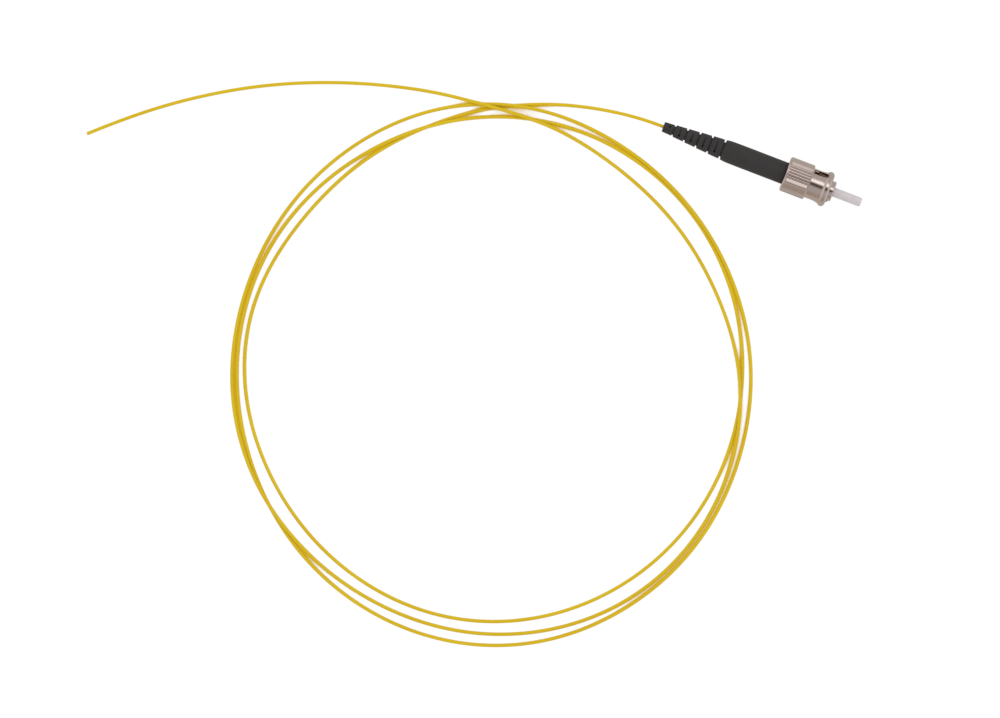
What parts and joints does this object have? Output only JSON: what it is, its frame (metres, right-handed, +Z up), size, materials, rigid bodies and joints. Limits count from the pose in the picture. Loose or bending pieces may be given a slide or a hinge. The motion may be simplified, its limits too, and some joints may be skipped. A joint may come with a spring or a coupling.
{
  "type": "fibre optic pigtail with bayonet connector",
  "caption": "Loosely coiled yellow 0.9 mm buffered optical fibre, with a nickel bayonet connector, ceramic ferrule and black strain relief boot on one end and the other end bare.",
  "frame": {"origin": "under the middle of the connector, 28.15 mm from its boot end and 28.35 mm from its ferrule tip, on the surface that the coupling nut rests on", "axes": "+X along the connector's axis out of the ferrule tip; +Z up; the coil lies on the -Y side"},
  "size_m": [0.1996, 0.1555, 0.0097],
  "materials": {
    "white_ceramic": "fine ground zirconia, slightly translucent",
    "nickel_plate": "satin bright nickel plate on brass",
    "spring_steel": "drawn stainless spring steel",
    "boot_rubber": "matte moulded elastomer",
    "yellow_jacket": "smooth extruded buffer jacket, satin"
  },
  "bodies": {
    "plug": {"ferrule": "white_ceramic", "plug_body": "nickel_plate", "retaining_ring": "spring_steel", "strain_relief_boot": "boot_rubber", "compression_spring": "spring_steel", "cord_lead": "yellow_jacket", "cord_coil": "yellow_jacket", "cord_tail": "yellow_jacket"},
    "washer": {"thrust_washer": "spring_steel"},
    "nut": {"coupling_nut": "nickel_plate"}
  },
  "joints": [
    {"name": "nut_push", "type": "slide", "parent": "plug", "child": "washer", "axis": [1, 0, 0], "range_m": [0, 0.0018], "stiffness_N_per_m": 2500, "springref_m": -0.0012, "deforming": ["compression_spring"]},
    {"name": "nut_turn", "type": "hinge", "parent": "washer", "child": "nut", "pos_m": [0.0106, 0, 0.00485], "axis": [1, 0, 0], "continuous": true}
  ]
}
